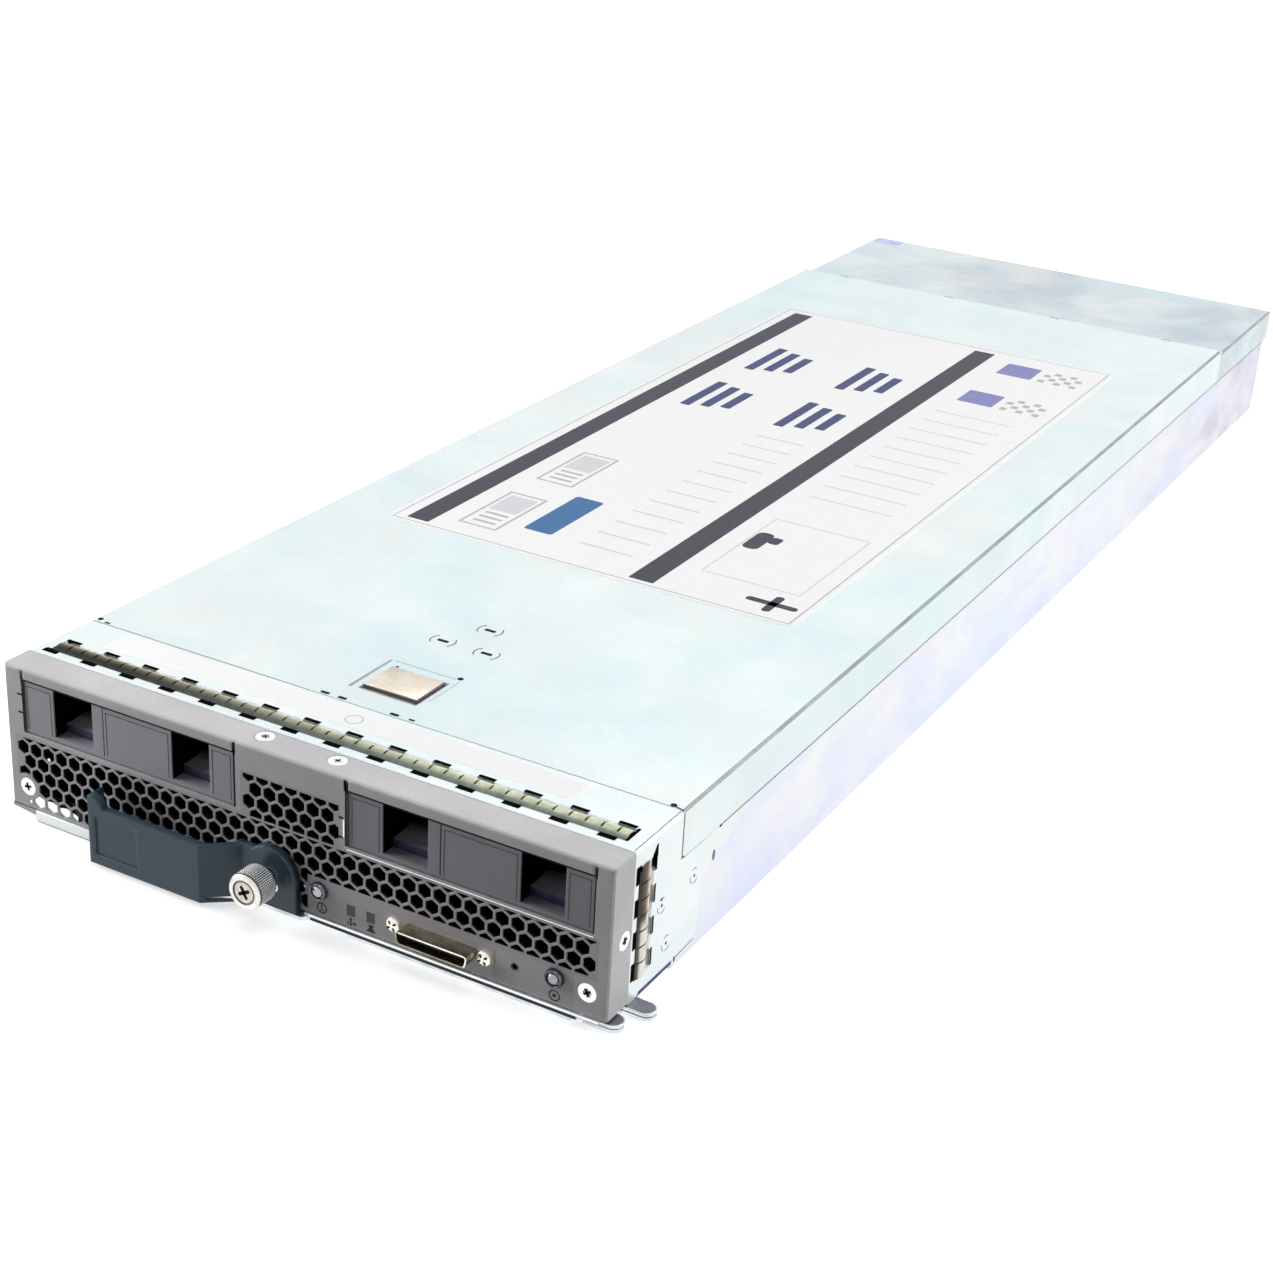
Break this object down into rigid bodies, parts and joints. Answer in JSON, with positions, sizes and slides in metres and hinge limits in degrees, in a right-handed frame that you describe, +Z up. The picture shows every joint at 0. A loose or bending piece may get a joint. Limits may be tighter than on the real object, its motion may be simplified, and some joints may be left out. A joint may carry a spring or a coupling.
{
  "type": "blade server",
  "caption": "Half-width blade server: steel tray with sliding cover, hex-vented bezel, drive-bay blanks, swinging ejector lever with captive thumbscrew, boards inside and rear midplane plug.",
  "frame": {"origin": "centre of the tray's bottom face, half way along the body's width and length", "axes": "+X to the right seen from the front, +Y from the bezel to the rear, +Z up through the cover"},
  "size_m": [0.2109, 0.6336, 0.0503],
  "materials": {
    "tray_steel": "zinc-plated sheet with a pale passivate",
    "cover_steel": "zinc-coated sheet, satin",
    "bezel_paint": "fine-textured powder coat",
    "screw_steel": "bright zinc",
    "thumbscrew_nickel": "bright nickel",
    "gasket_steel": "thin bright spring strip",
    "board_green": "solder resist over glass-fibre board",
    "black_plastic": "moulded, fine grain",
    "nickel_lid": "satin nickel plate",
    "sink_aluminium": "bare, brushed",
    "cage_steel": "zinc-coated sheet",
    "brass_posts": "turned, lightly plated",
    "shell_tin": "dull tin plate",
    "clear_plastic": "translucent",
    "lever_steel": "bright zinc, cut edges",
    "grip_plastic": "satin, dark slate teal",
    "blank_plastic": "moulded, fine grain",
    "button_metal": "warm beige, satin",
    "plunger_plastic": "moulded",
    "label_film": "printed white film"
  },
  "bodies": {
    "chassis": {"base_tray": "tray_steel", "front_frame": "cover_steel", "front_bezel": "bezel_paint", "lower_grille": "bezel_paint", "centre_grille": "bezel_paint", "control_panel": "bezel_paint", "bezel_screws": "screw_steel", "top_gasket": "gasket_steel", "side_gaskets": "gasket_steel", "system_board": "board_green", "board_standoffs": "brass_posts", "board_screws": "screw_steel", "processor_sockets": "black_plastic", "processors": "nickel_lid", "heat_sink_front": "sink_aluminium", "heat_sink_rear": "sink_aluminium", "heat_sink_screws": "screw_steel", "memory_sockets": "black_plastic", "memory_modules": "board_green", "chipset_heat_sink": "sink_aluminium", "coin_cell": "nickel_lid", "coin_cell_holder": "black_plastic", "security_module": "board_green", "usb_port": "nickel_lid", "card_slots": "nickel_lid", "power_parts": "black_plastic", "network_card": "board_green", "adapter_card": "board_green", "adapter_heat_sink": "sink_aluminium", "card_connectors": "black_plastic", "rear_panel": "cage_steel", "rear_connector": "black_plastic", "guide_sockets": "cage_steel", "drive_cages": "cage_steel", "drive_backplane": "board_green", "drive_connectors": "black_plastic", "console_shell": "shell_tin", "console_contacts": "black_plastic", "jack_posts": "brass_posts", "control_board": "board_green", "switches": "black_plastic", "light_pipes": "clear_plastic", "button_rings": "black_plastic", "pivot_pin": "screw_steel", "screw_insert": "screw_steel"},
    "ejector_lever": {"lever_plate": "lever_steel", "lever_doubler": "lever_steel", "handle_grip": "grip_plastic"},
    "screw_washer": {"screw_washer": "screw_steel"},
    "thumbscrew": {"thumbscrew": "thumbscrew_nickel"},
    "cover": {"top_cover": "cover_steel", "cover_label": "label_film", "cover_rivets": "cover_steel", "latch_bracket": "cage_steel"},
    "release_button": {"release_button": "button_metal"},
    "power_button": {"power_button": "button_metal"},
    "locator_button": {"locator_button": "button_metal"},
    "reset_plunger": {"reset_plunger": "plunger_plastic"},
    "blank_left": {"blank_left": "blank_plastic"},
    "blank_right": {"blank_right": "blank_plastic"}
  },
  "joints": [
    {"name": "lever_swing", "type": "hinge", "parent": "chassis", "child": "ejector_lever", "pos_m": [0.089, -0.2975, 0.0026], "axis": [0, 0, 1], "range_deg": [0, 50]},
    {"name": "screw_travel", "type": "slide", "parent": "ejector_lever", "child": "screw_washer", "axis": [0, 1, 0], "range_m": [0, 0.0028]},
    {"name": "screw_turn", "type": "hinge", "parent": "screw_washer", "child": "thumbscrew", "pos_m": [-0.0048, -0.3158, 0.0128], "axis": [0, 1, 0], "range_deg": [0, 1440]},
    {"name": "cover_slide", "type": "slide", "parent": "chassis", "child": "cover", "axis": [0, 1, 0], "range_m": [0, 0.01]},
    {"name": "release_press", "type": "slide", "parent": "cover", "child": "release_button", "axis": [0, 0, -1], "range_m": [0, 0.0015], "stiffness_N_per_m": 400},
    {"name": "power_press", "type": "slide", "parent": "chassis", "child": "power_button", "axis": [0, 1, 0], "range_m": [0, 0.0012], "stiffness_N_per_m": 300},
    {"name": "locator_press", "type": "slide", "parent": "chassis", "child": "locator_button", "axis": [0, 1, 0], "range_m": [0, 0.0012], "stiffness_N_per_m": 300},
    {"name": "reset_press", "type": "slide", "parent": "chassis", "child": "reset_plunger", "axis": [0, 1, 0], "range_m": [0, 0.00025], "stiffness_N_per_m": 500},
    {"name": "blank_left_slide", "type": "slide", "parent": "chassis", "child": "blank_left", "axis": [0, -1, 0], "range_m": [0, 0.085]},
    {"name": "blank_right_slide", "type": "slide", "parent": "chassis", "child": "blank_right", "axis": [0, -1, 0], "range_m": [0, 0.085]}
  ],
  "couplings": [
    {"joint": "screw_travel", "follows": "screw_turn", "m_per_rad": 0.00011141}
  ]
}
